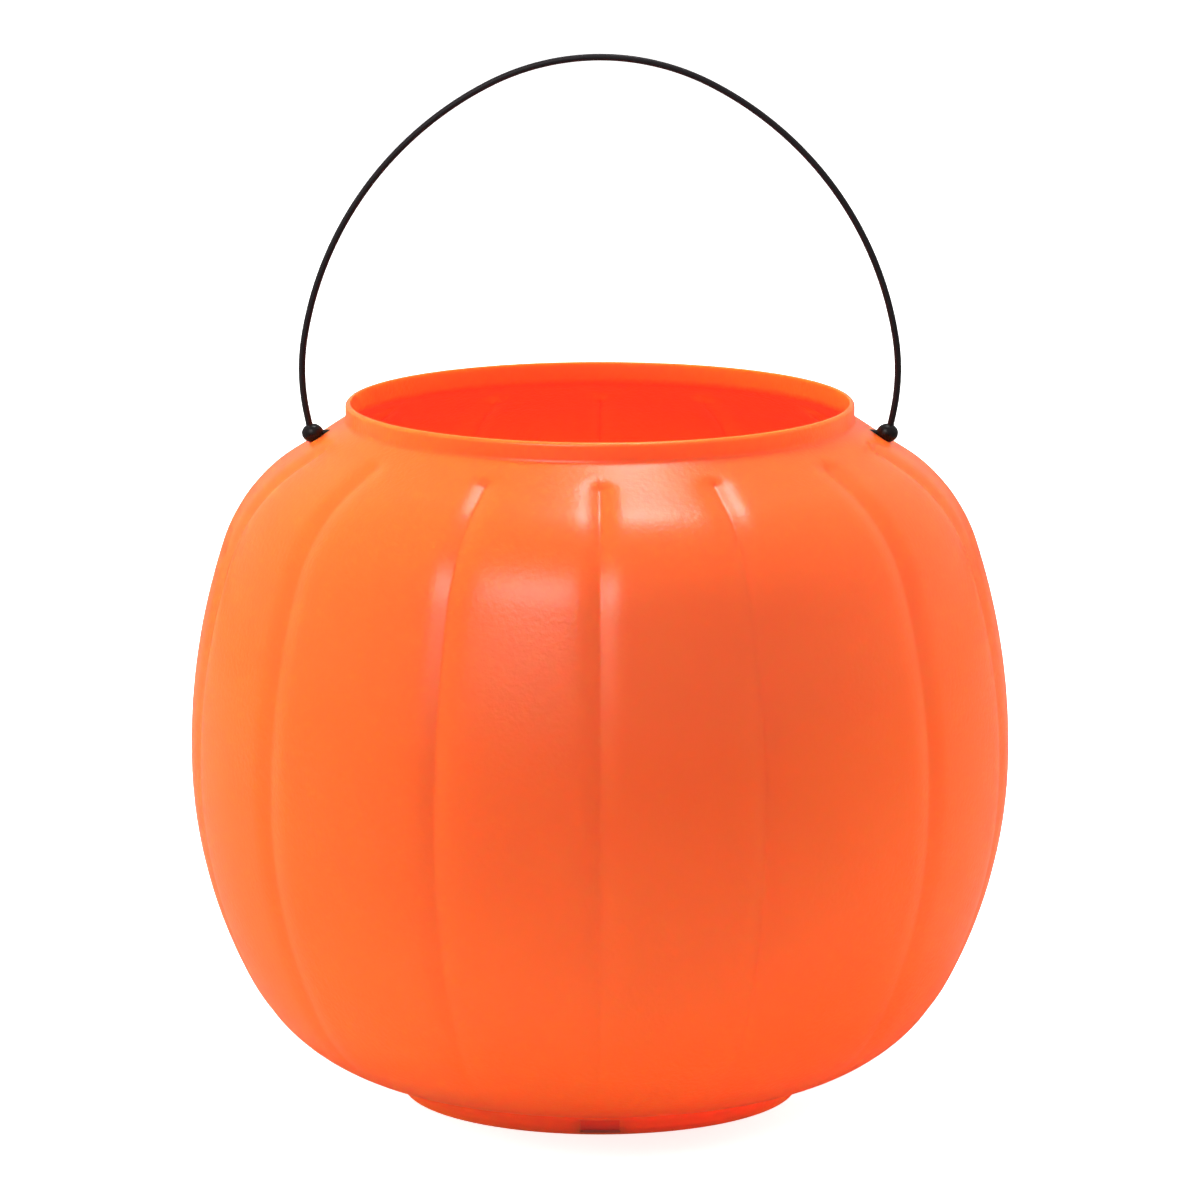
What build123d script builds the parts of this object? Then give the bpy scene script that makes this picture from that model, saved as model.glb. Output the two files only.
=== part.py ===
from build123d import *
import os
from math import cos, degrees, radians, sin, tan

# Pumpkin-shaped candy pail: one blow-moulded ribbed shell and a wire bail that swings on its shoulder.
# Millimetres, +Z up. The origin is on the floor under the middle of the foot.
# The front faces -Y and the bail's pivots lie along X.

# Shell: the wall, the widest ring and the curves above and below it
wall = 1.3
belly_radius = 108.0
lower_side_radius = 129.0
lower_side_turn = 28.0
heel_radius = 50.0
heel_turn = 78.0
upper_side_radius = 177.0
upper_side_turn = 18.2
shoulder_radius = 43.0
shoulder_turn = 57.5
shoulder_run = 14.6

# Neck round the mouth
neck_height = 5.0
neck_fillet = 1.5
lip_round = 0.6

# Foot ring, with a notch at each end of the pinch-off seam
foot_height = 6.5
foot_inset = 6.75
foot_ring_width = 8.0
foot_fillet = 2.5
foot_round = 0.8
recess_height = 5.2
recess_fillet = 1.2
notch_width = 10.3
notch_height = 4.2
notch_depth = 2.2
seam_width = 1.6
seam_height = 0.8

# Grooves between the ribs: directions from the front in one quarter of the pail, then their size
groove_directions = (0.0, 23.0, 52.0, 77.0)
groove_half_width = 6.5
groove_belly_depth = 0.7
groove_shoulder_depth = 2.2
groove_slope_length = 9.0
groove_heel_turn = 66.0
neck_margin = 3.2

# Level sections that the ribbed part is drawn through: at the heel, the sides, the shoulder and the slope
heel_sections = 4
lower_side_sections = 3
upper_side_sections = 2
shoulder_sections = 5
slope_sections = 4

# Bail: a bent wire whose ends are the pivot pins
wire_radius = 0.8
pin_clearance = 0.08
pin_reach = 4.0
pin_bend_radius = 1.6
wire_end_round = 0.3
bail_lean = 11.9
bail_straight = 5.3
bail_lower_radius = 55.7
bail_lower_turn = 21.3
bail_flank_radius = 91.3
bail_flank_turn = 53.3

# Bead moulded on each bend, nested in a dimple of the shoulder
bead_radius = 2.5
bead_gap = 0.3
bead_lift = 1.9
pivot_run = 8.0
collar_length = 1.4
collar_wall = 0.6
collar_end_wall = 0.25

# Spare length by which a cutter passes through what it cuts
overrun = 2.0


def step(point, length, direction):
    """Point at a length from another one, in a direction in degrees."""
    return (point[0] + length * cos(radians(direction)), point[1] + length * sin(radians(direction)))


# The meridian in radius and height: four arcs that meet in line, stacked up from the foot
heel_drop = heel_radius * (sin(radians(heel_turn)) - sin(radians(lower_side_turn)))
belly_height = foot_height + heel_drop + lower_side_radius * sin(radians(lower_side_turn))
lower_side_centre = (belly_radius - lower_side_radius, belly_height)
heel_centre = step(lower_side_centre, lower_side_radius - heel_radius, -lower_side_turn)
upper_side_centre = (belly_radius - upper_side_radius, belly_height)
shoulder_centre = step(upper_side_centre, upper_side_radius - shoulder_radius, upper_side_turn)


def meridian(turn, depth):
    """Radius and height of the shell where its face leans back by turn, at a depth inside the outer face."""
    if turn < -lower_side_turn:
        return step(heel_centre, heel_radius - depth, turn)
    if turn < 0:
        return step(lower_side_centre, lower_side_radius - depth, turn)
    if turn < upper_side_turn:
        return step(upper_side_centre, upper_side_radius - depth, turn)
    return step(shoulder_centre, shoulder_radius - depth, turn)


def slope(run, depth):
    """Radius and height on the straight slope, at a run inwards from the end of the shoulder's arc."""
    radius, height = meridian(shoulder_turn, depth)
    return (radius - run, height + run / tan(radians(shoulder_turn)))


neck_radius = meridian(shoulder_turn, 0)[0] - shoulder_run
neck_base = slope(shoulder_run, 0)[1]
rim_height = neck_base + neck_height
foot_radius = meridian(-heel_turn, 0)[0] - foot_inset
recess_radius = foot_radius - foot_ring_width

# The bead's centre stands off the slope, and the bail turns about the line through both centres
bead_foot = slope(shoulder_run - pivot_run, 0)
bead_x, pivot_height = step(bead_foot, bead_lift, shoulder_turn)


def quarter_turns(directions):
    """Repeats the directions of one quarter of the pail in the other three, in order."""
    turns = [half + side * angle for angle in directions for side in (1, -1) for half in (0, 180)]
    return sorted({turn % 360 for turn in turns})


groove_turns = quarter_turns(groove_directions)


def around(radius, direction):
    """Point at a radius, in a direction counted from the front towards +X."""
    return Vector(radius * sin(radians(direction)), -radius * cos(radians(direction)))


def along(direction):
    """Unit vector round the pail at that direction."""
    return Vector(cos(radians(direction)), sin(radians(direction)))


def ribbed_section(place, groove_depth):
    """Level face of the shell's form: a ribbed outline whose grooves are creases with rounded shoulders."""
    radius, height = place
    half = degrees(groove_half_width / radius)
    edges = []
    for start, end in zip(groove_turns, groove_turns[1:] + [groove_turns[0] + 360]):
        first = around(radius, start + half)
        last = around(radius, end - half)
        edges.append(TangentArc(first, around(radius - groove_depth, start), tangent=-along(start + half)))
        edges.append(ThreePointArc(first, around(radius, (start + end) / 2), last))
        edges.append(TangentArc(last, around(radius - groove_depth, end), tangent=along(end - half)))
    return Pos(0, 0, height) * Face(Wire(edges))


def spread(first, last, count):
    """Evenly spaced values from the first up to, but not including, the last."""
    return [first + (last - first) * i / count for i in range(count)]


def groove_depth_at(turn):
    """Crease depth: none at the heel, shallow at the belly and deepest at the shoulder."""
    if turn < 0:
        return groove_belly_depth * (1 + turn / groove_heel_turn)
    deepening = (turn / shoulder_turn) ** 2
    return groove_belly_depth + (groove_shoulder_depth - groove_belly_depth) * deepening


belt_turns = (
    spread(-groove_heel_turn, -lower_side_turn, heel_sections)
    + spread(-lower_side_turn, 0, lower_side_sections)
    + spread(0, upper_side_turn, upper_side_sections)
    + spread(upper_side_turn, shoulder_turn, shoulder_sections)
)
belt_end_run = shoulder_run - neck_margin


def belt(depth):
    """Ribbed part of the form, from the heel up to just below the neck."""
    sections = [ribbed_section(meridian(turn, depth), groove_depth_at(turn)) for turn in belt_turns]
    for run in spread(0, groove_slope_length, slope_sections):
        fade = 1 - (run / groove_slope_length) ** 2
        sections.append(ribbed_section(slope(run, depth), groove_shoulder_depth * fade))
    sections.append(ribbed_section(slope(groove_slope_length, depth), 0))
    sections.append(ribbed_section(slope(belt_end_run, depth), 0))
    return loft(sections)


def turned(outline):
    """Solid of revolution of an outline drawn in radius and height."""
    return revolve(Plane.XZ * make_face(outline), axis=Axis.Z)


def base_form(depth):
    """Heel, foot ring and the recess inside it."""
    heel_end = meridian(-heel_turn, depth)
    belt_start = meridian(-groove_heel_turn, depth)
    foot_wall = foot_radius - depth
    foot_top = heel_end[1] - (heel_end[0] - foot_wall) / tan(radians(heel_turn))
    recess_wall = recess_radius + depth
    ceiling = recess_height + depth
    underside = FilletPolyline(
        (0, ceiling), (recess_wall, ceiling), (recess_wall, depth),
        (foot_wall, depth), (foot_wall, foot_top), heel_end,
        radius=(recess_fillet + depth, foot_round, foot_round, foot_fillet + depth),
    )
    heel = ThreePointArc(heel_end, meridian(-(heel_turn + groove_heel_turn) / 2, depth), belt_start)
    top = Polyline(belt_start, (0, belt_start[1]), (0, ceiling))
    return turned([underside, heel, top])


def neck_form(depth):
    """Top of the slope and the neck, which the inner form runs out of."""
    belt_top = slope(belt_end_run, depth)
    neck_wall = neck_radius - depth
    corner = slope(meridian(shoulder_turn, depth)[0] - neck_wall, depth)
    top = rim_height + depth
    side = FilletPolyline(belt_top, corner, (neck_wall, top), radius=neck_fillet + depth)
    rest = Polyline((neck_wall, top), (0, top), (0, belt_top[1]), belt_top)
    return turned([side, rest])


def form(depth):
    """Whole body of the pail, drawn in by a depth all over."""
    return base_form(depth) + belt(depth) + neck_form(depth)


def both_ends(piece):
    """A piece and its copy on the other side of the pail."""
    return [piece, Rot(0, 0, 180) * piece]


def foot_notch(margin):
    """Pocket in the foot ring at the front, grown by a margin to give the block round it."""
    width = notch_width + 2 * margin
    bottom = margin / 2
    height = notch_height + margin - bottom
    inner = foot_radius - notch_depth - margin
    outer = foot_radius - margin / 2
    return Pos(0, -(inner + outer) / 2, bottom + height / 2) * Box(width, outer - inner, height)


def pail_shell():
    """Moulded shell with its foot notches, pinch-off seam, pivot dimples and pin holes."""
    outside = form(0)
    shell = outside - form(wall)
    shell = fillet(shell.edges().group_by(Axis.Z)[-1], lip_round)
    seam = Pos(0, 0, recess_height - seam_height / 2) * Box(seam_width, 2 * recess_radius, seam_height)
    dimple = Pos(bead_x, 0, pivot_height) * Sphere(bead_radius + bead_gap)
    dimple_wall = outside & (Pos(bead_x, 0, pivot_height) * Sphere(bead_radius + bead_gap + wall))
    notch_cut = foot_notch(0)
    notch_end = Pos(0, -foot_radius, notch_height / 2) * Box(notch_width, 2 * overrun, notch_height)
    pin_hole = Pos(0, 0, pivot_height) * Rot(0, 90, 0) * Cylinder(wire_radius + pin_clearance, 2 * bead_x)
    shell = shell + both_ends(foot_notch(wall)) + both_ends(dimple_wall)
    shell = shell - both_ends(notch_cut) - both_ends(notch_end) - both_ends(dimple) - pin_hole
    return shell + seam


def bail_path():
    """Centre line of the bail, from the right pin's end over the top to the left one."""
    hole_start = neck_radius + (neck_base - pivot_height) * tan(radians(shoulder_turn))
    hole_end = hole_start - wall / cos(radians(shoulder_turn))
    pin_end = (hole_end - pin_reach, pivot_height)
    centre = (bead_x, pivot_height)
    heading = 90 - bail_lean
    rise = step(centre, bail_straight, heading)
    pin = FilletPolyline(pin_end, centre, rise, radius=pin_bend_radius)
    lower = JernArc(rise, (cos(radians(heading)), sin(radians(heading))), bail_lower_radius, bail_lower_turn)
    flank = JernArc(lower @ 1, lower % 1, bail_flank_radius, bail_flank_turn)
    top_turn = 90 + bail_lean - bail_lower_turn - bail_flank_turn
    top_radius = (flank @ 1).X / sin(radians(top_turn))
    top = JernArc(flank @ 1, flank % 1, top_radius, top_turn)
    half = Curve() + [pin, lower, flank, top]
    return Plane.XZ * Wire((half + mirror(half, about=Plane.YZ)).edges())


def bail_wire():
    """Bent wire with rounded ends."""
    path = bail_path()
    section = Plane(origin=path @ 0, z_dir=path % 0) * Circle(wire_radius)
    wire = sweep(section, path=path)
    ends = wire.faces().filter_by(GeomType.PLANE)
    print("bail wire", round(wire.volume, 2), "of", round(section.area * path.length, 2))
    return fillet(ends.edges(), wire_end_round)


def pivot_bead(wire):
    """Bead moulded round the right bend of the wire, with a tapered collar where the wire leaves it."""
    centre = Pos(bead_x, 0, pivot_height)
    collar = Cone(wire_radius + collar_wall, wire_radius + collar_end_wall, bead_radius + collar_length)
    collar = Pos(0, 0, (bead_radius + collar_length) / 2) * collar
    return centre * (Sphere(bead_radius) + Rot(0, bail_lean, 0) * collar) - wire


os.makedirs("parts", exist_ok=True)
bail_rod = bail_wire()
right_pivot_bead = pivot_bead(bail_rod)
nodes = {
    "pail_shell": pail_shell(),
    "bail_rod": bail_rod,
    "right_pivot_bead": right_pivot_bead,
    "left_pivot_bead": mirror(right_pivot_bead, about=Plane.YZ),
}
for name, solid in nodes.items():
    export_step(solid, f"parts/{name}.step")
print("rim", round(rim_height, 2), "neck radius", round(neck_radius, 2), "foot radius", round(foot_radius, 2))
print("pivot", round(bead_x, 2), round(pivot_height, 2), "belly height", round(belly_height, 2))
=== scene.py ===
import math

import bmesh
import bpy
from bpy.props import FloatProperty, FloatVectorProperty, IntProperty, PointerProperty
from mathutils import Matrix, Vector


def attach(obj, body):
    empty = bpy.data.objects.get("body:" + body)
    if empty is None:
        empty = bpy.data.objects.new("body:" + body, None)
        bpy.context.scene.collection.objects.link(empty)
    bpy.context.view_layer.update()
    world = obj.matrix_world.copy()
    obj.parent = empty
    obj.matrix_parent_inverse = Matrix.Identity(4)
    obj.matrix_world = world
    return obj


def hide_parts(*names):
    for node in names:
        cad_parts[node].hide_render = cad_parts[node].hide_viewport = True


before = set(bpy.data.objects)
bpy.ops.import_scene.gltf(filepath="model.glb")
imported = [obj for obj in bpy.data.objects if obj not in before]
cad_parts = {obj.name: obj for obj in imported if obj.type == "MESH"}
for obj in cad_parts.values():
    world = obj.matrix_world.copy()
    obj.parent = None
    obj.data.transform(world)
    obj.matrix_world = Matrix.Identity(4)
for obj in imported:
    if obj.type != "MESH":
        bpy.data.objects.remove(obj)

bl_info = {
    "name": "Candy Pail",
    "version": (1, 0, 0),
    "blender": (4, 5, 0),
    "location": "View3D > Sidebar > Candy Pail",
    "description": "Builds the looks of a pumpkin-shaped candy pail with a swinging wire bail",
    "category": "Add Mesh",
}

# The script's lengths are metres, and its sizes are written in millimetres
MM = 0.001

# How fine the meshes are: steps along arcs and sides of round forms
CORNER_STEPS = 6
SLOPE_STEPS = 20
BEND_STEPS = 8
LOWER_STEPS, FLANK_STEPS, TOP_STEPS = 16, 48, 24
WIRE_SIDES = 24
HOLE_SIDES = 32
BEAD_SIDES = 40
BEAD_STEPS = 28

# Distances of the mesh's stations from a crease, in millimetres
CREASE_STATIONS = (0, 0.35, 0.9, 1.8, 3.0, 4.4, 6.0, 7.6, 9.4)

# Sections are turned about a small ring, and points closer than the weld become one
RING_RADIUS = 1.0 * MM
AXIS_WELD = 0.03 * MM
MESH_WELD = 0.001 * MM

# Edges that turn by more degrees than this look sharp
SHARP_MOULDING = 40
SHARP_WIRE = 50

# Share of the pinch-off seam's height by which its middle lies under the recess's ceiling
SEAM_DROP = 0.3

# Values that most of a noise lies between, and how many finer layers it has
NOISE_LEAST, NOISE_MOST = 0.3, 0.7
NOISE_DETAIL = 2.0


def length(name, millimetres, description):
    """Property that holds a length, given in millimetres."""
    return FloatProperty(
        name=name, description=description, default=millimetres * MM, unit="LENGTH", precision=5)


def angle(name, degrees, description):
    """Property that holds an angle, given in degrees."""
    return FloatProperty(name=name, description=description, default=math.radians(degrees), unit="ROTATION")


def number(name, value, description):
    """Property that holds a plain number."""
    return FloatProperty(name=name, description=description, default=value, precision=4)


class PailShellSettings(bpy.types.PropertyGroup):
    """Shape of the moulded shell, from its foot ring up to its lip."""

    wall: length("Wall", 1.3, "Thickness of the moulded wall")
    belly_radius: length("Belly Radius", 108, "Radius of the widest ring")
    lower_radius: length("Lower Side Radius", 129, "Radius of the curve below the belly")
    lower_turn: angle("Lower Side Turn", 28, "How far the curve below the belly turns")
    heel_radius: length("Heel Radius", 50, "Radius of the curve down to the foot")
    heel_turn: angle("Heel Turn", 78, "Lean of the face where the heel meets the foot")
    upper_radius: length("Upper Side Radius", 177, "Radius of the curve above the belly")
    upper_turn: angle("Upper Side Turn", 18.2, "How far the curve above the belly turns")
    shoulder_radius: length("Shoulder Radius", 43, "Radius of the shoulder's curve")
    shoulder_turn: angle("Shoulder Turn", 57.5, "Lean of the straight slope above the shoulder")
    shoulder_run: length("Shoulder Run", 14.6, "Level run of the slope, from the shoulder in to the neck")
    neck_height: length("Neck Height", 5, "Height of the upright wall round the mouth")
    neck_fillet: length("Neck Fillet", 1.5, "Rounding where the neck meets the slope")
    lip_outer_round: length("Lip Outer Round", 1.0, "Rounding of the lip's outer edge")
    lip_inner_round: length("Lip Inner Round", 0.25, "Rounding of the lip's inner edge")
    foot_height: length("Foot Height", 6.5, "Height of the foot ring")
    foot_inset: length("Foot Inset", 6.75, "How far the foot's wall stands in from the end of the heel")
    foot_width: length("Foot Ring Width", 8, "Width of the ring that the pail stands on")
    foot_fillet: length("Foot Fillet", 4.6, "Rounding where the foot meets the heel")
    foot_round: length("Foot Round", 0.8, "Rounding of the foot ring's lower edges")
    recess_height: length("Recess Height", 5.2, "Height of the recess inside the foot ring")
    recess_fillet: length("Recess Fillet", 1.2, "Rounding of the recess's inner corner")
    notch_width: length("Notch Width", 10.3, "Width of the notch at each end of the pinch-off seam")
    notch_height: length("Notch Height", 4.2, "Height of that notch")
    notch_depth: length("Notch Depth", 3.5, "Depth of that notch into the foot ring")
    notch_sill: length("Notch Sill", 0.5, "Height of the thin edge left under that notch")
    seam_width: length("Seam Width", 1.6, "Width of the pinch-off seam across the recess")
    seam_height: length("Seam Height", 0.8, "Height of the pinch-off seam")
    spacing: length("Spacing", 2.0, "Distance between mesh points along the profile's curves")


class RibSettings(bpy.types.PropertyGroup):
    """Grooves that divide the shell into ribs, and the moulding's parting line."""

    second_groove: angle("Second Groove", 23, "Direction of the second groove from the front one")
    third_groove: angle("Third Groove", 52, "Direction of the third groove from the front one")
    fourth_groove: angle("Fourth Groove", 77, "Direction of the fourth groove from the front one")
    half_width: length("Groove Half Width", 6.5, "Distance from a crease to where its flank meets the rib")
    second_softness: length("Second Softness", 0.5, "How far the second crease's bottom is rounded")
    side_softness: length("Side Softness", 1.2, "How far the third and fourth creases' bottoms are rounded")
    belly_depth: length("Belly Depth", 0.9, "Depth of a crease at the belly")
    shoulder_depth: length("Shoulder Depth", 2.2, "Depth of a crease at the shoulder")
    slope_run: length("Slope Run", 5.2, "Level run on the slope after which a crease ends in a round hollow")
    heel_turn: angle("Heel Turn", 66, "Lean of the heel where a crease dies out")
    parting_height: length("Parting Height", 0.22, "Height of the parting line's ridge")
    parting_half_width: length("Parting Half Width", 0.45, "Half the width of that ridge")
    middle_stations: IntProperty(
        name="Middle Stations", description="Mesh points across a rib", default=5, min=2)


class BailSettings(bpy.types.PropertyGroup):
    """Bent wire and the beads moulded on its two bends."""

    wire_radius: length("Wire Radius", 0.9, "Radius of the bail's wire")
    pin_reach: length("Pin Reach", 4, "How far the wire's end goes on inside the shell")
    bend_radius: length("Bend Radius", 1.6, "Radius of the bend inside a bead")
    lean: angle("Lean", 11.9, "How far the wire leans outwards where it leaves a bead")
    straight: length("Straight", 5.3, "Straight length of wire above the bend")
    lower_radius: length("Lower Radius", 55.7, "Radius of the wire's lowest curve")
    lower_turn: angle("Lower Turn", 21.3, "How far that curve turns")
    flank_radius: length("Flank Radius", 91.3, "Radius of the curve up each side")
    flank_turn: angle("Flank Turn", 53.3, "How far that curve turns")
    bead_radius: length("Bead Radius", 2.5, "Radius of a pivot bead")
    bead_reach: length("Bead Reach", 0.4, "How far a bead's middle lies from the bend towards the shell")
    bead_gap: length("Bead Gap", 0.3, "Clearance between a bead and its dimple in the shell")
    bead_lift: length("Bead Lift", 1.9, "Height of the bend over the slope")
    pivot_run: length("Pivot Run", 8, "Level distance of the neck from the point of the slope under the bend")
    hole_clearance: length("Hole Clearance", 0.08, "Clearance round the wire in the shell's hole")


class StageSettings(bpy.types.PropertyGroup):
    """Camera, floor and soft studio lights."""

    target_height: length("Target Height", 131.75, "Height of the point that the camera looks at")
    distance: length("Distance", 2000, "Distance of the camera from that point")
    elevation: angle("Elevation", 10.783, "How steeply the camera looks down")
    lens: number("Lens", 227.56, "Focal length in millimetres for the sensor's width")
    sensor: number("Sensor", 36.0, "Width of the sensor in millimetres")
    floor_side: length("Floor Side", 16000, "Side of the square floor")
    surround: number("Surround", 0.45, "How bright the surroundings are in reflections")
    glow: number("Glow", 0.8, "How bright the floor is to the camera without its lights")
    bounce: number("Bounce", 0.3, "How bright the floor is to the plastic's body without its lights")
    paper: FloatVectorProperty(
        name="Paper", description="Colour of the floor", default=(0.93, 0.93, 0.93), subtype="COLOR")


# Plain helpers for profiles: a point is a vector whose x is a radius and whose z is a height

def polar(radius, turn):
    """Vector of a length in a direction in the profile's plane."""
    return Vector((radius * math.cos(turn), 0, radius * math.sin(turn)))


def spread(first, last, count):
    """Evenly spaced values from the first to the last, both included."""
    return [first + (last - first) * i / count for i in range(count + 1)]


def rounded(points, radii, steps=CORNER_STEPS):
    """Polyline whose inner corners are rounded by arcs of the given radii."""
    path = [points[0]]
    for before, corner, after, radius in zip(points, points[1:], points[2:], radii):
        back = (before - corner).normalized()
        ahead = (after - corner).normalized()
        half = back.angle(ahead) / 2
        centre = corner + (back + ahead).normalized() * radius / math.sin(half)
        start = corner + back * radius / math.tan(half) - centre
        end = corner + ahead * radius / math.tan(half) - centre
        path += [centre + start.slerp(end, i / steps) * radius for i in range(steps + 1)]
    return path + [points[-1]]


class Meridian:
    """Profile of the shell: four arcs that meet in line, then a straight slope and an upright neck."""

    def __init__(self, shell):
        self.shell = shell
        heel_drop = shell.heel_radius * (math.sin(shell.heel_turn) - math.sin(shell.lower_turn))
        belly_height = shell.foot_height + heel_drop + shell.lower_radius * math.sin(shell.lower_turn)
        belly = Vector((shell.belly_radius, 0, belly_height))
        lower_centre = belly - polar(shell.lower_radius, 0)
        heel_centre = lower_centre + polar(shell.lower_radius - shell.heel_radius, -shell.lower_turn)
        upper_centre = belly - polar(shell.upper_radius, 0)
        shoulder_centre = upper_centre + polar(shell.upper_radius - shell.shoulder_radius, shell.upper_turn)
        self.arcs = [
            (heel_centre, shell.heel_radius, -shell.heel_turn, -shell.lower_turn),
            (lower_centre, shell.lower_radius, -shell.lower_turn, 0),
            (upper_centre, shell.upper_radius, 0, shell.upper_turn),
            (shoulder_centre, shell.shoulder_radius, shell.upper_turn, shell.shoulder_turn),
        ]
        self.slope_end = self.slope(shell.shoulder_run, 0)
        self.neck_radius = self.slope_end.x
        self.rim_height = self.slope_end.z + shell.neck_height
        self.foot_radius = self.heel_end(0).x - shell.foot_inset
        self.recess_radius = self.foot_radius - shell.foot_width

    def heel_end(self, depth):
        """Point where the heel meets the foot, at a depth inside the outer face."""
        centre, radius, first, _ = self.arcs[0]
        return centre + polar(radius - depth, first)

    def slope(self, run, depth):
        """Point on the straight slope, at a level run inwards from the end of the shoulder's arc."""
        centre, radius, _, last = self.arcs[-1]
        return centre + polar(radius - depth, last) + Vector((-run, 0, run / math.tan(last)))

    def curve(self, depth):
        """Points of the four arcs with the lean of the face at each, from the heel up to the slope."""
        stations = []
        for centre, radius, first, last in self.arcs:
            count = math.ceil(radius * (last - first) / self.shell.spacing)
            turns = spread(first, last, count)[:-1]
            stations += [(centre + polar(radius - depth, turn), turn) for turn in turns]
        return stations


def crease_depth(ribs, shell, turn):
    """Depth of a crease: none at the heel, shallow at the belly and deepest at the shoulder."""
    if turn < 0:
        return ribs.belly_depth * max(0, 1 + turn / ribs.heel_turn)
    return ribs.belly_depth + (ribs.shoulder_depth - ribs.belly_depth) * (turn / shell.shoulder_turn) ** 2


def shell_face(meridian, ribs, depth):
    """One face of the wall from the axis under the floor up to the neck.

    Each point has the depth of the creases there and its distance past their ends."""
    shell = meridian.shell
    ceiling = shell.recess_height + depth
    recess_wall = meridian.recess_radius + depth
    foot_wall = meridian.foot_radius - depth
    heel_end = meridian.heel_end(depth)
    foot_top = heel_end.z - (heel_end.x - foot_wall) / math.tan(shell.heel_turn)
    corners = [
        (0, ceiling), (recess_wall, ceiling), (recess_wall, depth), (foot_wall, depth), (foot_wall, foot_top)]
    points = [Vector((radius, 0, height)) for radius, height in corners] + [heel_end]
    radii = (shell.recess_fillet + depth, shell.foot_round, shell.foot_round, shell.foot_fillet)
    face = [(point, 0, 0) for point in rounded(points, radii)[:-1]]
    face += [(point, crease_depth(ribs, shell, turn), 0) for point, turn in meridian.curve(depth)]
    neck_wall = meridian.neck_radius - depth
    neck_run = meridian.slope(0, depth).x - neck_wall
    for run in spread(0, neck_run - 2 * shell.neck_fillet, SLOPE_STEPS):
        past = max(0, run - ribs.slope_run) / math.sin(shell.shoulder_turn)
        face.append((meridian.slope(run, depth), ribs.shoulder_depth, past))
    top = Vector((neck_wall, 0, meridian.rim_height))
    neck = rounded([face[-1][0], meridian.slope(neck_run, depth), top], [shell.neck_fillet + depth])
    return face + [(point, 0, 0) for point in neck[1:]]


def shell_section(meridian, ribs):
    """Whole section of the wall: outer face, lip and inner face.

    Each point has its crease depth, its distance past the creases' ends and its parting strength."""
    shell = meridian.shell
    outer = shell_face(meridian, ribs, 0)
    inner = shell_face(meridian, ribs, shell.wall)
    corners = [outer[-2][0], outer[-1][0], inner[-1][0], inner[-2][0]]
    lip = rounded(corners, [shell.lip_outer_round, shell.lip_inner_round])
    section = []
    for point, depth, past in outer[:-1]:
        fading = max(0, 1 - past / ribs.half_width)
        section.append((point, depth, past, fading * depth / ribs.shoulder_depth))
    section += [(point, 0, 0, 0) for point in lip[1:-1]]
    section += [(point, depth, past, 0) for point, depth, past in reversed(inner[:-1])]
    return section


def ring_directions(ribs, radius):
    """Directions of the mesh's stations round the pail, drawn together at the creases."""
    quarter = [0, ribs.second_groove, ribs.third_groove, ribs.fourth_groove]
    mirrored = [side * turn for turn in quarter for side in (1, -1)]
    grooves = sorted({round((half + turn) % math.tau, 9) for turn in mirrored for half in (0, math.pi)})
    beside = [offset * MM / radius for offset in CREASE_STATIONS]
    directions = []
    for start, end in zip(grooves, grooves[1:] + [grooves[0] + math.tau]):
        directions += [start + offset for offset in beside]
        directions += spread(start + beside[-1], end - beside[-1], ribs.middle_stations)[1:]
        directions += [end - offset for offset in reversed(beside[1:-1])]
    return directions


# Helpers for node trees and meshes

def add_node(tree, kind, inputs=None, **settings):
    """Adds a node, sets its properties, and fills or links its inputs by name or number."""
    node = tree.nodes.new(kind)
    for name, value in settings.items():
        setattr(node, name, value)
    for key, value in (inputs or {}).items():
        if isinstance(value, bpy.types.NodeSocket):
            tree.links.new(value, node.inputs[key])
        else:
            node.inputs[key].default_value = value
    return node


def compute(tree, operation, *values):
    """Adds a math node and gives its result."""
    return add_node(tree, "ShaderNodeMath", dict(enumerate(values)), operation=operation).outputs[0]


def new_tree(name, sockets):
    """Geometry node tree with a geometry input, the named inputs and a geometry output."""
    tree = bpy.data.node_groups.new(name, "GeometryNodeTree")
    tree.interface.new_socket("Geometry", in_out="INPUT", socket_type="NodeSocketGeometry")
    for label, kind in sockets:
        tree.interface.new_socket(label, in_out="INPUT", socket_type=f"NodeSocket{kind}")
    tree.interface.new_socket("Geometry", in_out="OUTPUT", socket_type="NodeSocketGeometry")
    return tree, tree.nodes.new("NodeGroupInput").outputs


def finish_tree(tree, geometry, material):
    """Realizes the geometry, gives it its material and links it to the tree's output."""
    realized = add_node(tree, "GeometryNodeRealizeInstances", {"Geometry": geometry})
    named = add_node(tree, "GeometryNodeSetMaterial", {"Geometry": realized.outputs[0], "Material": material})
    add_node(tree, "NodeGroupOutput", {"Geometry": named.outputs[0]})


def run_tree(obj, tree, values):
    """Runs a tree on an object with the given inputs, and keeps the result as the object's plain mesh."""
    modifier = obj.modifiers.new(tree.name, "NODES")
    modifier.node_group = tree
    for item in tree.interface.items_tree:
        if item.in_out == "INPUT" and item.name in values:
            modifier[item.identifier] = values[item.name]
    keep_evaluated(obj)


def keep_evaluated(obj):
    """Replaces an object's mesh by what its modifiers make of it, and removes the modifiers."""
    graph = bpy.context.evaluated_depsgraph_get()
    graph.update()
    mesh = bpy.data.meshes.new_from_object(
        obj.evaluated_get(graph), preserve_all_data_layers=True, depsgraph=graph)
    obj.modifiers.clear()
    obj.data = mesh


def new_object(name, mesh):
    """Object for a mesh, linked to the scene at the origin."""
    obj = bpy.data.objects.new(name, mesh)
    bpy.context.scene.collection.objects.link(obj)
    return obj


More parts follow.
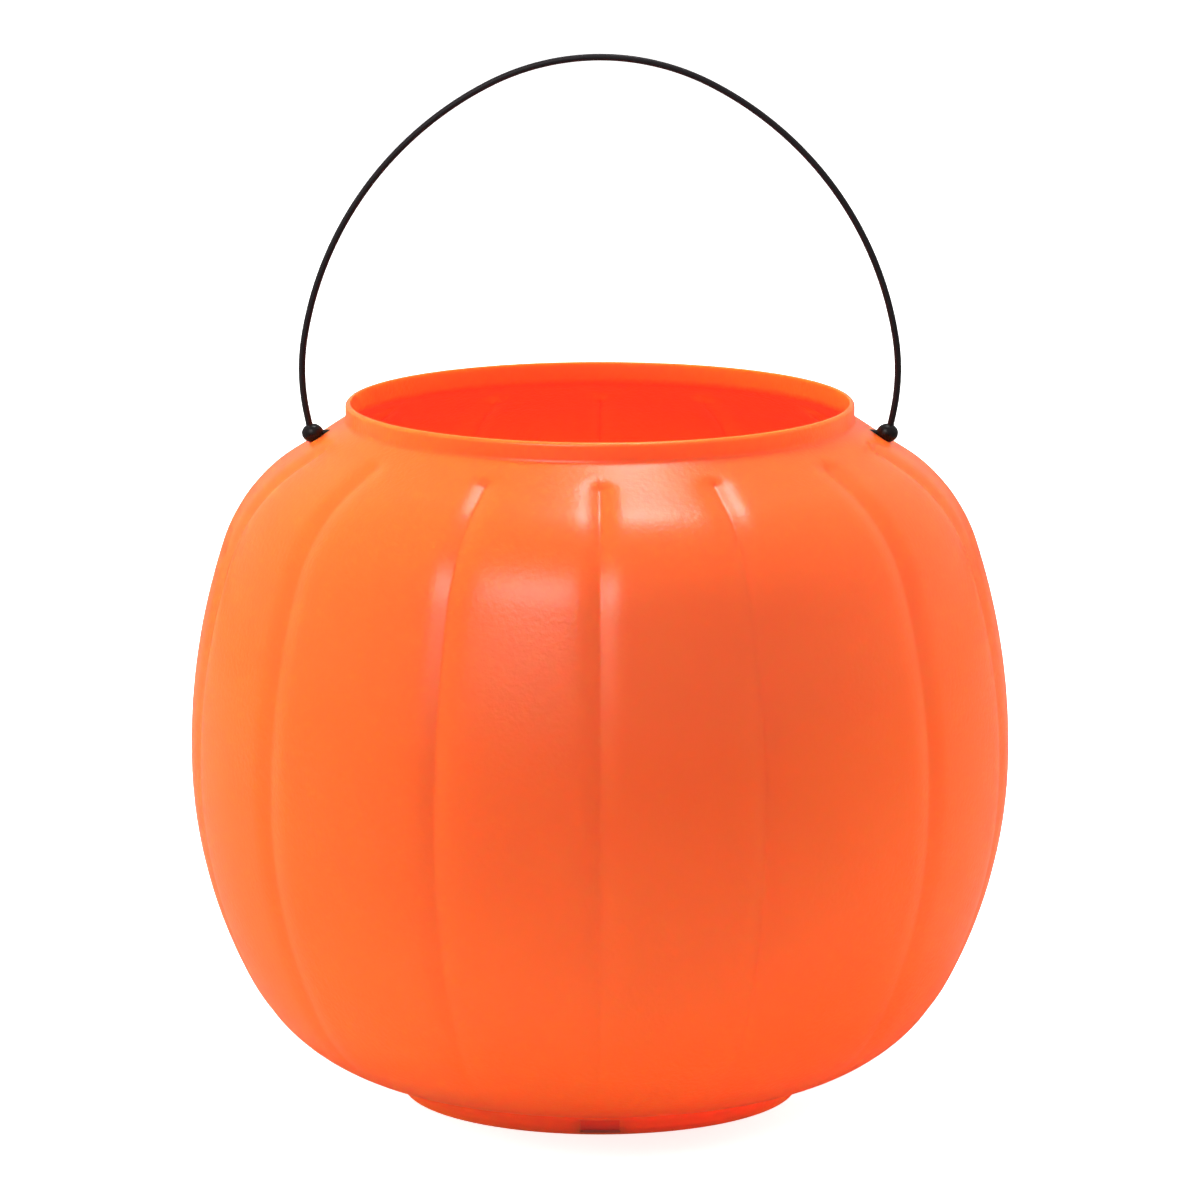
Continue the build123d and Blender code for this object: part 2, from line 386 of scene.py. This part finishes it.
def line_object(name, points, closed=False, **attributes):
    """Object whose mesh is a chain of edges through the points, with a value of each attribute per point."""
    mesh = bpy.data.meshes.new(name)
    edges = [(i, i + 1) for i in range(len(points) - 1)]
    if closed:
        edges.append((len(points) - 1, 0))
    mesh.from_pydata([tuple(point) for point in points], edges, [])
    for label, values in attributes.items():
        mesh.attributes.new(label, "FLOAT", "POINT").data.foreach_set("value", values)
    return new_object(name, mesh)


def solid_object(name, build, *values):
    """Object whose mesh is filled by a function that takes a bmesh and the values."""
    shape = bmesh.new()
    build(shape, *values)
    mesh = bpy.data.meshes.new(name)
    shape.to_mesh(mesh)
    shape.free()
    return new_object(name, mesh)


def combine(obj, operation, other):
    """Joins or cuts an object with another one, which is then removed."""
    modifier = obj.modifiers.new(operation, "BOOLEAN")
    modifier.operation = operation
    modifier.solver = "MANIFOLD"
    modifier.object = other
    keep_evaluated(obj)
    bpy.data.objects.remove(other)


def finish_mesh(obj, sharp_degrees):
    """Turns faces outwards, and smooths the shading between edges sharper than an angle."""
    shape = bmesh.new()
    shape.from_mesh(obj.data)
    bmesh.ops.remove_doubles(shape, verts=shape.verts, dist=MESH_WELD)
    bmesh.ops.recalc_face_normals(shape, faces=shape.faces)
    shape.to_mesh(obj.data)
    shape.free()
    obj.data.shade_smooth()
    obj.data.set_sharp_from_angle(angle=math.radians(sharp_degrees))


def colour(code):
    """Linear colour of an sRGB hex code."""
    channels = [int(code[i:i + 2], 16) / 255 for i in (1, 3, 5)]
    return [c / 12.92 if c <= 0.04045 else ((c + 0.055) / 1.055) ** 2.4 for c in channels] + [1]


def new_material(name):
    """Empty material with its tree, its Object coordinates and a linked Principled shader."""
    material = bpy.data.materials.new(name)
    material.use_nodes = True
    tree = material.node_tree
    tree.nodes.clear()
    place = add_node(tree, "ShaderNodeTexCoord").outputs["Object"]
    shader = add_node(tree, "ShaderNodeBsdfPrincipled")
    add_node(tree, "ShaderNodeOutputMaterial", {"Surface": shader.outputs[0]})
    return material, tree, place, shader


def noise(tree, place, size):
    """Value of a noise whose features have a size in millimetres."""
    inputs = {"Vector": place, "Scale": 1 / (size * MM), "Detail": NOISE_DETAIL}
    return add_node(tree, "ShaderNodeTexNoise", inputs).outputs[0]


def between(tree, value, low, high):
    """Value that runs from low to high as a noise goes from its usual least to its usual most."""
    inputs = {0: value, 1: NOISE_LEAST, 2: NOISE_MOST, 3: low, 4: high}
    return add_node(tree, "ShaderNodeMapRange", inputs).outputs[0]


def mixed(tree, factor, first, second):
    """Adds a node that goes from one colour to another, and gives the result."""
    inputs = {0: factor, 6: first, 7: second}
    return add_node(tree, "ShaderNodeMix", inputs, data_type="RGBA").outputs[2]


def moulded_polyethylene():
    """Orange blow-moulded polyethylene: saturated, a little waxy, with soft gloss, a faint orange peel and a
    faint painted white glow.
    """
    material, tree, place, shader = new_material("moulded_polyethylene")
    cloud = between(tree, noise(tree, place, 45), 0, 1)
    tint = mixed(tree, cloud, colour("#f6590e"), colour("#f65b0f"))
    wrinkled = between(tree, noise(tree, place, 30), 0.1, 1.0)
    peel = add_node(tree, "ShaderNodeBump", {
        "Height": noise(tree, place, 1.3), "Strength": wrinkled, "Distance": 0.12 * MM})
    tree.links.new(tint, shader.inputs["Base Color"])
    tree.links.new(peel.outputs[0], shader.inputs["Normal"])
    shader.inputs["Roughness"].default_value = 0.29
    shader.inputs["IOR"].default_value = 1.5
    shader.inputs["Subsurface Weight"].default_value = 1.0
    shader.inputs["Subsurface Radius"].default_value = (1.0, 0.4, 0.2)
    shader.inputs["Subsurface Scale"].default_value = 10.0 * MM
    # Painted glow: a faint white emission stands in for the veil that light scattered in a lens gives
    shader.inputs["Emission Color"].default_value = (1, 1, 1, 1)
    shader.inputs["Emission Strength"].default_value = 0.013
    return material


def coated_wire():
    """Steel wire in a thin black plastic coat: near black out to its edges, with a faint satin streak."""
    material, tree, place, shader = new_material("coated_wire")
    shader.inputs["Base Color"].default_value = colour("#1d191b")
    tree.links.new(between(tree, noise(tree, place, 3), 0.36, 0.46), shader.inputs["Roughness"])
    shader.inputs["IOR"].default_value = 1.25
    return material


def moulded_bead():
    """Small black plastic moulding: smoother than the wire, so that it faintly mirrors the orange below."""
    material, tree, place, shader = new_material("moulded_bead")
    shader.inputs["Base Color"].default_value = colour("#151213")
    tree.links.new(between(tree, noise(tree, place, 1.5), 0.24, 0.32), shader.inputs["Roughness"])
    shader.inputs["IOR"].default_value = 1.3
    return material


def studio_paper(paper, glow, bounce):
    """Pale paper floor: white with a soft shadow to the camera, grey in reflections, and lends some light."""
    material, tree, _, shader = new_material("studio_paper")
    path = add_node(tree, "ShaderNodeLightPath").outputs
    seen = compute(tree, "MAXIMUM", path["Is Camera Ray"], path["Is Transmission Ray"])
    bounced = mixed(tree, path["Is Glossy Ray"], colour("#dddcdb"), colour("#6e6c6b"))
    tree.links.new(mixed(tree, seen, bounced, [*paper, 1]), shader.inputs["Base Color"])
    shader.inputs["Roughness"].default_value = 1.0
    shader.inputs["Specular IOR Level"].default_value = 0.0
    shader.inputs["Emission Color"].default_value = (1, 1, 1, 1)
    shown = compute(tree, "MULTIPLY", path["Is Camera Ray"], glow)
    lent = compute(tree, "MULTIPLY", path["Is Diffuse Ray"], bounce)
    tree.links.new(compute(tree, "ADD", shown, lent), shader.inputs["Emission Strength"])
    return material


def hypotenuse(tree, across, along):
    """Adds the nodes for the length of the diagonal of two lengths."""
    squares = [compute(tree, "MULTIPLY", side, side) for side in (across, along)]
    return compute(tree, "SQRT", compute(tree, "ADD", *squares))


def falling(tree, value):
    """Adds a node that falls from one to none as a value rises from none to one, and stays there."""
    node = add_node(tree, "ShaderNodeMath", {0: 1.0, 1: value}, operation="SUBTRACT", use_clamp=True)
    return node.outputs[0]


def attribute(tree, name):
    """Adds a node that reads a number stored at each point."""
    return add_node(tree, "GeometryNodeInputNamedAttribute", {"Name": name}, data_type="FLOAT").outputs[0]


def turned(tree, section, ring):
    """Adds the nodes that turn a section about the upright axis, over a ring."""
    source = add_node(tree, "GeometryNodeObjectInfo", {"Object": section}, transform_space="ORIGINAL")
    profile = add_node(tree, "GeometryNodeMeshToCurve", {"Mesh": source.outputs["Geometry"]})
    upright = add_node(tree, "GeometryNodeSetCurveNormal", {"Curve": ring}, mode="Z_UP")
    return add_node(tree, "GeometryNodeCurveToMesh", {
        "Curve": upright.outputs[0], "Profile Curve": profile.outputs[0]}).outputs[0]


def welded(tree, geometry):
    """Adds a node that joins the points which meet on the axis."""
    return add_node(tree, "GeometryNodeMergeByDistance", {
        "Geometry": geometry, "Distance": AXIS_WELD}).outputs[0]


def turning_tree(material):
    """Tree that turns a section about the upright axis over a ring of stations, and creases it into ribs."""
    lengths_and_angles = (
        "Second Groove", "Third Groove", "Fourth Groove", "Half Width", "Second Softness", "Side Softness",
        "Parting Height", "Parting Half Width")
    tree, given = new_tree("Ribbed Turning", [
        ("Section", "Object"), *((label, "Float") for label in lengths_and_angles)])
    ring = add_node(tree, "GeometryNodeMeshToCurve", {"Mesh": given["Geometry"]})
    skin = turned(tree, given["Section"], ring.outputs[0])

    # Direction of each point from the front or the back, whichever is nearer
    place = add_node(tree, "GeometryNodeInputPosition").outputs[0]
    axes = add_node(tree, "ShaderNodeSeparateXYZ", {0: place}).outputs
    front = compute(tree, "MULTIPLY", axes[1], -1.0)
    radius = hypotenuse(tree, axes[0], front)
    quarter = compute(tree, "PINGPONG", compute(tree, "ARCTAN2", axes[0], front), math.pi / 2)

    # A crease has rounded shoulders and a round end, and all but the front and back ones have a soft bottom
    creases = [
        (0.0, 0.0), (given["Second Groove"], given["Second Softness"]),
        (given["Third Groove"], given["Side Softness"]), (given["Fourth Groove"], given["Side Softness"]),
    ]
    past = attribute(tree, "past")
    flank = 0.0
    for turn, softness in creases:
        apart = compute(tree, "MULTIPLY", compute(tree, "SUBTRACT", quarter, turn), radius)
        reach = hypotenuse(tree, hypotenuse(tree, apart, past), softness)
        eased = compute(tree, "DIVIDE", compute(tree, "SUBTRACT", reach, softness), given["Half Width"])
        flank = compute(tree, "MAXIMUM", flank, falling(tree, eased))
    dent = compute(tree, "MULTIPLY", attribute(tree, "crease"), compute(tree, "POWER", flank, 2.0))

    # The front and back creases carry the thin parting line
    aside = compute(tree, "DIVIDE", compute(tree, "MULTIPLY", quarter, radius), given["Parting Half Width"])
    ridge = compute(tree, "MULTIPLY", falling(tree, aside), attribute(tree, "parting"))
    rise = compute(tree, "MULTIPLY", ridge, given["Parting Height"])
    around = compute(tree, "MAXIMUM", radius, RING_RADIUS)
    outwards = compute(tree, "DIVIDE", compute(tree, "SUBTRACT", rise, dent), around)
    level = add_node(tree, "ShaderNodeCombineXYZ", {0: axes[0], 1: axes[1]}).outputs[0]
    shift = add_node(tree, "ShaderNodeVectorMath", {0: level, "Scale": outwards}, operation="SCALE")
    moved = add_node(tree, "GeometryNodeSetPosition", {"Geometry": skin, "Offset": shift.outputs[0]})
    finish_tree(tree, welded(tree, moved.outputs[0]), material)
    return tree


def wire_tree(material):
    """Tree that sweeps a round wire along a path."""
    tree, given = new_tree("Bent Wire", [("Radius", "Float"), ("Sides", "Int")])
    path = add_node(tree, "GeometryNodeMeshToCurve", {"Mesh": given["Geometry"]})
    circle = add_node(tree, "GeometryNodeCurvePrimitiveCircle", {
        "Resolution": given["Sides"], "Radius": given["Radius"]})
    tube = add_node(tree, "GeometryNodeCurveToMesh", {
        "Curve": path.outputs[0], "Profile Curve": circle.outputs[0], "Fill Caps": True})
    finish_tree(tree, tube.outputs[0], material)
    return tree


def bead_tree(material):
    """Tree that sets a turned bead at both ends of the bail, each drawn out along the bail's axis."""
    tree, given = new_tree("Paired Beads", [
        ("Section", "Object"), ("Reach", "Float"), ("Height", "Float"), ("Stretch", "Float"),
        ("Sides", "Int")])
    ring = add_node(tree, "GeometryNodeCurvePrimitiveCircle", {
        "Resolution": given["Sides"], "Radius": RING_RADIUS})
    bead = welded(tree, turned(tree, given["Section"], ring.outputs[0]))

    # The point with index 0 is the left end, and the one with index 1 the right end
    pair = add_node(tree, "GeometryNodeMeshLine", {"Count": 2}, mode="OFFSET")
    index = add_node(tree, "GeometryNodeInputIndex").outputs[0]
    side = compute(tree, "SUBTRACT", compute(tree, "MULTIPLY", index, 2.0), 1.0)
    across = compute(tree, "MULTIPLY", side, given["Reach"])
    spot = add_node(tree, "ShaderNodeCombineXYZ", {0: across, 2: given["Height"]})
    ends = add_node(tree, "GeometryNodeSetPosition", {
        "Geometry": pair.outputs[0], "Position": spot.outputs[0]})
    drawn = add_node(tree, "ShaderNodeCombineXYZ", {0: given["Stretch"], 1: 1.0, 2: 1.0})
    both = add_node(tree, "GeometryNodeInstanceOnPoints", {
        "Points": ends.outputs[0], "Instance": bead, "Scale": drawn.outputs[0]})
    finish_tree(tree, both.outputs[0], material)
    return tree


def pivot_centre(bail, meridian):
    """Middle of the bend at the right, over the shoulder's slope, on the line that the bail turns about."""
    shell = meridian.shell
    return meridian.slope(shell.shoulder_run - bail.pivot_run, 0) + polar(bail.bead_lift, shell.shoulder_turn)


def turned_section(name, points, **attributes):
    """Section as a curve's profile: across counts from the ring, and heights run against its binormal."""
    return line_object(name, [(point.x - RING_RADIUS, -point.z, 0) for point in points], **attributes)


def foot_notch(meridian, margin):
    """Size and middle of the front notch in the foot ring, grown by a margin to give the block round it."""
    shell = meridian.shell
    inner = meridian.foot_radius - shell.notch_depth - margin
    outer = meridian.foot_radius - margin / 2
    bottom = margin / 2
    size = Vector((shell.notch_width + 2 * margin, outer - inner, shell.notch_height + margin - bottom))
    return size, Vector((0, -(inner + outer) / 2, bottom + size.z / 2))


def add_box(shape, size, middle):
    """Adds a box to a bmesh."""
    bmesh.ops.create_cube(shape, size=1, matrix=Matrix.Translation(middle) @ Matrix.Diagonal((*size, 1)))


def add_bead_form(shape, bail, pivot, side, margin):
    """Adds a bead's long round form to a bmesh, grown by a margin."""
    radius = bail.bead_radius + margin
    there = Matrix.Translation((side * (pivot.x - bail.bead_reach), 0, pivot.z))
    form = Matrix.Diagonal((radius + bail.bead_reach, radius, radius, 1))
    bmesh.ops.create_uvsphere(
        shape, u_segments=BEAD_SIDES, v_segments=BEAD_SIDES // 2, radius=1, matrix=there @ form)


class PAIL_OT_shell(bpy.types.Operator):
    """Builds the moulded shell with its ribs, foot, notches, seam and pivot dimples"""

    bl_idname = "candy_pail.shell"
    bl_label = "Build Shell"

    def execute(self, context):
        shell, ribs, bail = context.scene.pail_shell, context.scene.pail_ribs, context.scene.pail_bail
        meridian = Meridian(shell)
        section = shell_section(meridian, ribs)
        points, depths, distances, strengths = zip(*section)
        profile = turned_section("section", points, crease=depths, past=distances, parting=strengths)
        directions = ring_directions(ribs, shell.belly_radius)
        stations = [(RING_RADIUS * math.sin(d), -RING_RADIUS * math.cos(d), 0) for d in directions]
        body = line_object("pail_body", stations, closed=True)
        material = moulded_polyethylene()
        run_tree(body, turning_tree(material), {
            "Section": profile, "Second Groove": ribs.second_groove, "Third Groove": ribs.third_groove,
            "Fourth Groove": ribs.fourth_groove, "Half Width": ribs.half_width,
            "Second Softness": ribs.second_softness, "Side Softness": ribs.side_softness,
            "Parting Height": ribs.parting_height, "Parting Half Width": ribs.parting_half_width})
        bpy.data.objects.remove(profile)
        finish_mesh(body, SHARP_MOULDING)
        pivot = pivot_centre(bail, meridian)
        combine(body, "UNION", solid_object("added", self.added, meridian))
        for side in (1, -1):
            combine(body, "UNION", solid_object("backing", self.backing, meridian, bail, pivot, side))
        combine(body, "DIFFERENCE", solid_object("cut", self.cuts, meridian, bail, pivot))
        combine(body, "DIFFERENCE", solid_object("drill", self.pin_hole, bail, pivot))
        finish_mesh(body, SHARP_MOULDING)
        body.data.materials.clear()
        body.data.materials.append(material)
        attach(body, "pail")
        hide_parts("pail_shell")
        return {"FINISHED"}

    def added(self, shape, meridian):
        """Blocks round the foot's notches and the pinch-off seam across the recess."""
        shell = meridian.shell
        size, middle = foot_notch(meridian, shell.wall)
        for side in (1, -1):
            add_box(shape, size, Vector((0, side * middle.y, middle.z)))
        seam = Vector((shell.seam_width, 2 * meridian.recess_radius + shell.wall, shell.seam_height))
        add_box(shape, seam, Vector((0, 0, shell.recess_height - SEAM_DROP * shell.seam_height)))

    def backing(self, shape, meridian, bail, pivot, side):
        """Wall behind a pivot dimple, cut off halfway through the slope's own wall."""
        shell = meridian.shell
        add_bead_form(shape, bail, pivot, side, bail.bead_gap + shell.wall)
        foot = meridian.slope(shell.shoulder_run - bail.pivot_run, shell.wall / 2)
        outwards = polar(1, shell.shoulder_turn)
        bmesh.ops.bisect_plane(
            shape, geom=shape.verts[:] + shape.edges[:] + shape.faces[:], clear_outer=True,
            plane_co=(side * foot.x, 0, foot.z), plane_no=(side * outwards.x, 0, outwards.z))
        bmesh.ops.edgeloop_fill(shape, edges=[edge for edge in shape.edges if edge.is_boundary])

    def cuts(self, shape, meridian, bail, pivot):
        """Foot notches and pivot dimples."""
        shell = meridian.shell
        size, middle = foot_notch(meridian, 0)
        size += Vector((0, 2 * shell.wall, -shell.notch_sill))
        middle += Vector((0, -shell.wall, shell.notch_sill / 2))
        for side in (1, -1):
            add_box(shape, size, Vector((0, side * middle.y, middle.z)))
            add_bead_form(shape, bail, pivot, side, bail.bead_gap)

    def pin_hole(self, shape, bail, pivot):
        """Bar along the bail's axis that drills both pin holes."""
        radius = bail.wire_radius + bail.hole_clearance
        across = Matrix.Translation((0, 0, pivot.z)) @ Matrix.Rotation(math.pi / 2, 4, "Y")
        bmesh.ops.create_cone(
            shape, cap_ends=True, segments=HOLE_SIDES, radius1=radius, radius2=radius, depth=2 * pivot.x,
            matrix=across)


class PAIL_OT_bail(bpy.types.Operator):
    """Builds the bail's bent wire"""

    bl_idname = "candy_pail.bail"
    bl_label = "Build Bail"

    def execute(self, context):
        bail = context.scene.pail_bail
        meridian = Meridian(context.scene.pail_shell)
        half = self.half_path(bail, meridian)
        mirrored = [Vector((-point.x, 0, point.z)) for point in reversed(half[:-1])]
        wire = line_object("bail_wire", half + mirrored)
        run_tree(wire, wire_tree(coated_wire()), {"Radius": bail.wire_radius, "Sides": WIRE_SIDES})
        finish_mesh(wire, SHARP_WIRE)
        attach(wire, "bail")
        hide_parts("bail_rod")
        return {"FINISHED"}

    def half_path(self, bail, meridian):
        """Centre line from the right pin's end up to the middle of the top."""
        shell = meridian.shell
        centre = pivot_centre(bail, meridian)
        drop = meridian.slope_end.z - centre.z
        hole_start = meridian.neck_radius + drop * math.tan(shell.shoulder_turn)
        hole_end = hole_start - shell.wall / math.cos(shell.shoulder_turn)
        pin_end = Vector((hole_end - bail.pin_reach, 0, centre.z))
        heading = math.pi / 2 - bail.lean
        rise = centre + polar(bail.straight, heading)
        path = rounded([pin_end, centre, rise], [bail.bend_radius], BEND_STEPS)
        top_turn = math.pi / 2 + bail.lean - bail.lower_turn - bail.flank_turn
        arcs = [
            (bail.lower_radius, bail.lower_turn, LOWER_STEPS),
            (bail.flank_radius, bail.flank_turn, FLANK_STEPS),
            (None, top_turn, TOP_STEPS),
        ]
        for radius, turn, count in arcs:
            # The top's radius is what brings its end to the middle
            end = path[-1]
            radius = radius or end.x / math.sin(top_turn)
            side = heading - math.pi / 2
            middle = end - polar(radius, side)
            path += [middle + polar(radius, side + step) for step in spread(0, turn, count)[1:]]
            heading += turn
        return path


class PAIL_OT_beads(bpy.types.Operator):
    """Builds the two beads that the bail turns on"""

    bl_idname = "candy_pail.beads"
    bl_label = "Build Beads"

    def execute(self, context):
        bail = context.scene.pail_bail
        pivot = pivot_centre(bail, Meridian(context.scene.pail_shell))
        turns = spread(-math.pi / 2, math.pi / 2, BEAD_STEPS)
        profile = turned_section("bead_section", [polar(bail.bead_radius, turn) for turn in turns])
        beads = line_object("pivot_beads", [(0, 0, 0)])
        run_tree(beads, bead_tree(moulded_bead()), {
            "Section": profile, "Reach": pivot.x - bail.bead_reach, "Height": pivot.z,
            "Stretch": 1 + bail.bead_reach / bail.bead_radius, "Sides": BEAD_SIDES})
        bpy.data.objects.remove(profile)
        finish_mesh(beads, SHARP_MOULDING)
        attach(beads, "bail")
        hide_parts("right_pivot_bead", "left_pivot_bead")
        return {"FINISHED"}


class PAIL_OT_stage(bpy.types.Operator):
    """Builds the floor, the surrounding light, the studio lights and the camera"""

    bl_idname = "candy_pail.stage"
    bl_label = "Build Stage"

    # Name, direction from the front and lift above the level in degrees, distance, width and height in
    # metres and power in watts of each light, and whether it lights the plastic's body, shows in its gloss,
    # or both
    lights = [
        ("overhead_softbox", 138, 81, 1.6, 0.4, 0.4, 6.5, "both"),
        ("front_softbox", -23, 25, 1.7, 0.8, 1.0, 2.8, "gloss"),
        ("front_softbox_top", -22, 37, 1.7, 0.75, 0.6, 6.5, "gloss"),
        ("overhead_left_panel", -100, 72, 1.7, 0.6, 0.6, 35, "body"),
        ("high_left_panel", -80, 55, 1.8, 1.2, 1.2, 12, "body"),
        ("high_right_panel", 80, 55, 1.8, 1.2, 1.2, 20, "body"),
        ("left_panel", -85, 20, 1.8, 1.2, 1.6, 29, "body"),
        ("back_left_panel", -125, 5, 1.8, 1.2, 1.0, 24, "body"),
        ("back_right_panel", 125, 5, 1.8, 1.2, 1.0, 40, "body"),
    ]

    def execute(self, context):
        stage = context.scene.pail_stage
        target = Vector((0, 0, stage.target_height))
        floor = solid_object("floor", self.level, stage.floor_side / 2)
        floor.data.materials.append(studio_paper(stage.paper, stage.glow, stage.bounce))
        pieces = [floor, self.camera(context, stage, target)]
        for name, turn, lift, distance, width, height, power, reach in self.lights:
            lamp = bpy.data.lights.new(name, "AREA")
            lamp.shape = "RECTANGLE"
            lamp.size, lamp.size_y = width, height
            lamp.energy = power
            light = bpy.data.objects.new(name, lamp)
            light.location = target + self.direction(math.radians(turn), math.radians(lift)) * distance
            light.rotation_euler = (light.location - target).to_track_quat("Z", "Y").to_euler()
            light.visible_camera = False
            light.visible_glossy = reach != "body"
            light.visible_diffuse = reach != "gloss"
            context.scene.collection.objects.link(light)
            pieces.append(light)
        self.surround(context.scene, stage)
        context.scene.view_settings.view_transform = "Standard"
        return {"FINISHED"}

    def level(self, shape, half_side):
        """Adds a level square to a bmesh."""
        bmesh.ops.create_grid(shape, size=half_side)

    def direction(self, turn, lift):
        """Unit vector at a turn from the front towards +X, lifted above the level."""
        return Vector((math.sin(turn) * math.cos(lift), -math.cos(turn) * math.cos(lift), math.sin(lift)))

    def camera(self, context, stage, target):
        """Camera at the photograph's distance, height and angle of view."""
        data = bpy.data.cameras.new("camera")
        data.lens = stage.lens
        data.sensor_width = stage.sensor
        camera = bpy.data.objects.new("camera", data)
        camera.location = target + self.direction(0, stage.elevation) * stage.distance
        camera.rotation_euler = (camera.location - target).to_track_quat("Z", "Y").to_euler()
        context.scene.collection.objects.link(camera)
        context.scene.camera = camera
        return camera

    def surround(self, scene, stage):
        """White to the camera, grey in reflections and no light by itself."""
        world = bpy.data.worlds.new("surround")
        scene.world = world
        world.use_nodes = True
        tree = world.node_tree
        tree.nodes.clear()
        path = add_node(tree, "ShaderNodeLightPath").outputs
        seen = compute(tree, "MAXIMUM", path["Is Camera Ray"], path["Is Transmission Ray"])
        mirrored = compute(tree, "MULTIPLY", path["Is Glossy Ray"], stage.surround)
        strength = compute(tree, "MAXIMUM", seen, mirrored)
        light = add_node(tree, "ShaderNodeBackground", {"Color": (1, 1, 1, 1), "Strength": strength})
        add_node(tree, "ShaderNodeOutputWorld", {"Surface": light.outputs[0]})


class PAIL_PT_sidebar(bpy.types.Panel):
    """Buttons and sizes of the candy pail"""

    bl_idname = "PAIL_PT_sidebar"
    bl_label = "Candy Pail"
    bl_space_type = "VIEW_3D"
    bl_region_type = "UI"
    bl_category = "Candy Pail"

    def draw(self, context):
        for operator in (PAIL_OT_shell, PAIL_OT_bail, PAIL_OT_beads, PAIL_OT_stage):
            self.layout.operator(operator.bl_idname)
        for name in ("pail_shell", "pail_ribs", "pail_bail", "pail_stage"):
            box = self.layout.box()
            settings = getattr(context.scene, name)
            for label in settings.__annotations__:
                box.prop(settings, label)


CLASSES = (
    PailShellSettings, RibSettings, BailSettings, StageSettings,
    PAIL_OT_shell, PAIL_OT_bail, PAIL_OT_beads, PAIL_OT_stage, PAIL_PT_sidebar,
)


def register():
    for cls in CLASSES:
        bpy.utils.register_class(cls)
    bpy.types.Scene.pail_shell = PointerProperty(type=PailShellSettings)
    bpy.types.Scene.pail_ribs = PointerProperty(type=RibSettings)
    bpy.types.Scene.pail_bail = PointerProperty(type=BailSettings)
    bpy.types.Scene.pail_stage = PointerProperty(type=StageSettings)


def unregister():
    del bpy.types.Scene.pail_shell
    del bpy.types.Scene.pail_ribs
    del bpy.types.Scene.pail_bail
    del bpy.types.Scene.pail_stage
    for cls in reversed(CLASSES):
        bpy.utils.unregister_class(cls)


def main():
    """Builds every piece and the stage."""
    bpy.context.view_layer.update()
    register()
    bpy.ops.candy_pail.shell()
    bpy.ops.candy_pail.bail()
    bpy.ops.candy_pail.beads()
    bpy.ops.candy_pail.stage()


if __name__ == "__main__":
    main()
